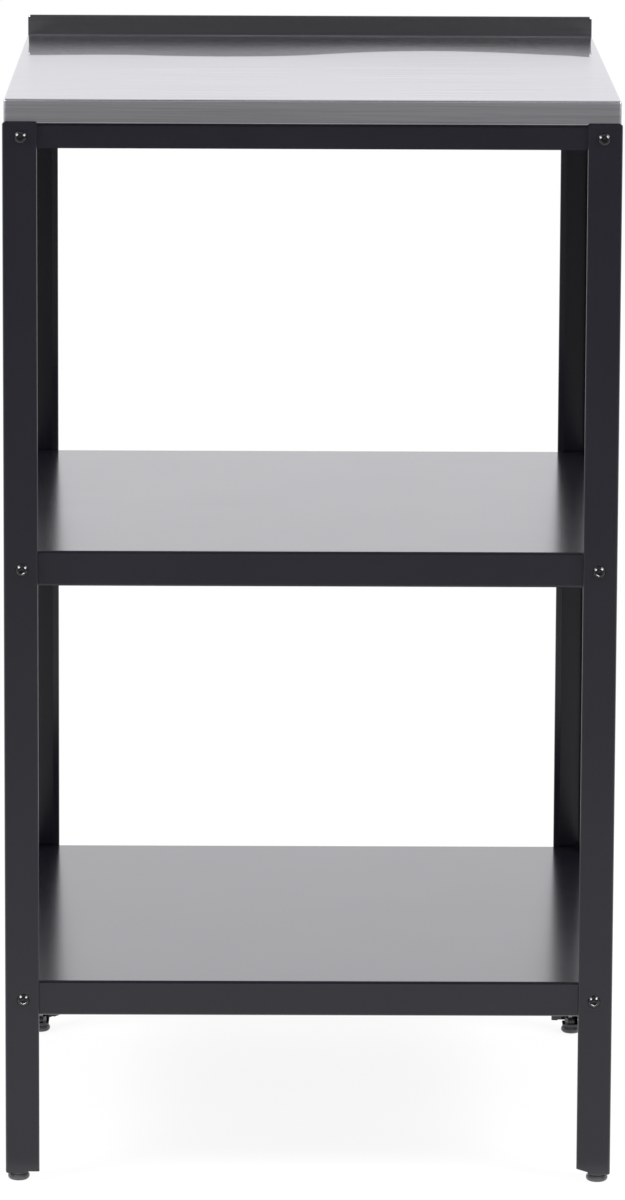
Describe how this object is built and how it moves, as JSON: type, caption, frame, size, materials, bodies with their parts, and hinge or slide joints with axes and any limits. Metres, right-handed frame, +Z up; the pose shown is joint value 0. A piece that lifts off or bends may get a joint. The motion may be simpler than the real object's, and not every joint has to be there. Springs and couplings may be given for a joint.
{
  "type": "outdoor kitchen module",
  "caption": "Free-standing open outdoor kitchen module: black folded angle legs and tray shelves, a stainless worktop with a low rear upstand, and levelling feet.",
  "frame": {"origin": "on the floor, under the middle of the module", "axes": "+Z up, the front faces -Y, +X to the right as seen from the front"},
  "size_m": [0.5, 0.5066, 0.918],
  "materials": {
    "black_powder_coat": "satin black powder coat on sheet steel",
    "brushed_stainless": "fine brushed stainless sheet",
    "black_fasteners": "glossy black coated steel",
    "zinc_plate": "bright zinc plate",
    "glide_plastic": "moulded dark grey polyamide"
  },
  "bodies": {
    "frame": {"leg_front_left": "black_powder_coat", "leg_front_right": "black_powder_coat", "leg_rear_right": "black_powder_coat", "leg_rear_left": "black_powder_coat", "top_rail_front": "black_powder_coat", "top_rail_right": "black_powder_coat", "top_rail_rear": "black_powder_coat", "top_rail_left": "black_powder_coat", "shelf_middle": "black_powder_coat", "shelf_lower": "black_powder_coat", "shelf_middle_stiffener": "black_powder_coat", "shelf_lower_stiffener": "black_powder_coat", "foot_weld_nuts": "black_powder_coat", "worktop": "brushed_stainless", "worktop_stiffener": "brushed_stainless", "leg_bolts_top": "black_fasteners", "leg_bolts_middle": "black_fasteners", "leg_bolts_lower": "black_fasteners", "rivet_nuts_top": "zinc_plate", "rivet_nuts_middle": "zinc_plate", "rivet_nuts_lower": "zinc_plate", "worktop_screws": "zinc_plate"},
    "glide_front_left": {"foot_glide_front_left": "glide_plastic"},
    "stem_front_left": {"foot_stem_front_left": "zinc_plate"},
    "glide_front_right": {"foot_glide_front_right": "glide_plastic"},
    "stem_front_right": {"foot_stem_front_right": "zinc_plate"},
    "glide_rear_right": {"foot_glide_rear_right": "glide_plastic"},
    "stem_rear_right": {"foot_stem_rear_right": "zinc_plate"},
    "glide_rear_left": {"foot_glide_rear_left": "glide_plastic"},
    "stem_rear_left": {"foot_stem_rear_left": "zinc_plate"}
  },
  "joints": [
    {"name": "foot_drop_front_left", "type": "slide", "parent": "frame", "child": "glide_front_left", "axis": [0, 0, -1], "range_m": [0, 0.01]},
    {"name": "stem_turn_front_left", "type": "hinge", "parent": "glide_front_left", "child": "stem_front_left", "pos_m": [-0.2395, -0.2395, 0], "axis": [0, 0, -1], "range_deg": [0, 3600]},
    {"name": "foot_drop_front_right", "type": "slide", "parent": "frame", "child": "glide_front_right", "axis": [0, 0, -1], "range_m": [0, 0.01]},
    {"name": "stem_turn_front_right", "type": "hinge", "parent": "glide_front_right", "child": "stem_front_right", "pos_m": [0.2395, -0.2395, 0], "axis": [0, 0, -1], "range_deg": [0, 3600]},
    {"name": "foot_drop_rear_right", "type": "slide", "parent": "frame", "child": "glide_rear_right", "axis": [0, 0, -1], "range_m": [0, 0.01]},
    {"name": "stem_turn_rear_right", "type": "hinge", "parent": "glide_rear_right", "child": "stem_rear_right", "pos_m": [0.2395, 0.2395, 0], "axis": [0, 0, -1], "range_deg": [0, 3600]},
    {"name": "foot_drop_rear_left", "type": "slide", "parent": "frame", "child": "glide_rear_left", "axis": [0, 0, -1], "range_m": [0, 0.01]},
    {"name": "stem_turn_rear_left", "type": "hinge", "parent": "glide_rear_left", "child": "stem_rear_left", "pos_m": [-0.2395, 0.2395, 0], "axis": [0, 0, -1], "range_deg": [0, 3600]}
  ],
  "couplings": [
    {"joint": "stem_turn_front_left", "follows": "foot_drop_front_left", "rad_per_m": 6283.2},
    {"joint": "stem_turn_front_right", "follows": "foot_drop_front_right", "rad_per_m": 6283.2},
    {"joint": "stem_turn_rear_right", "follows": "foot_drop_rear_right", "rad_per_m": 6283.2},
    {"joint": "stem_turn_rear_left", "follows": "foot_drop_rear_left", "rad_per_m": 6283.2}
  ]
}
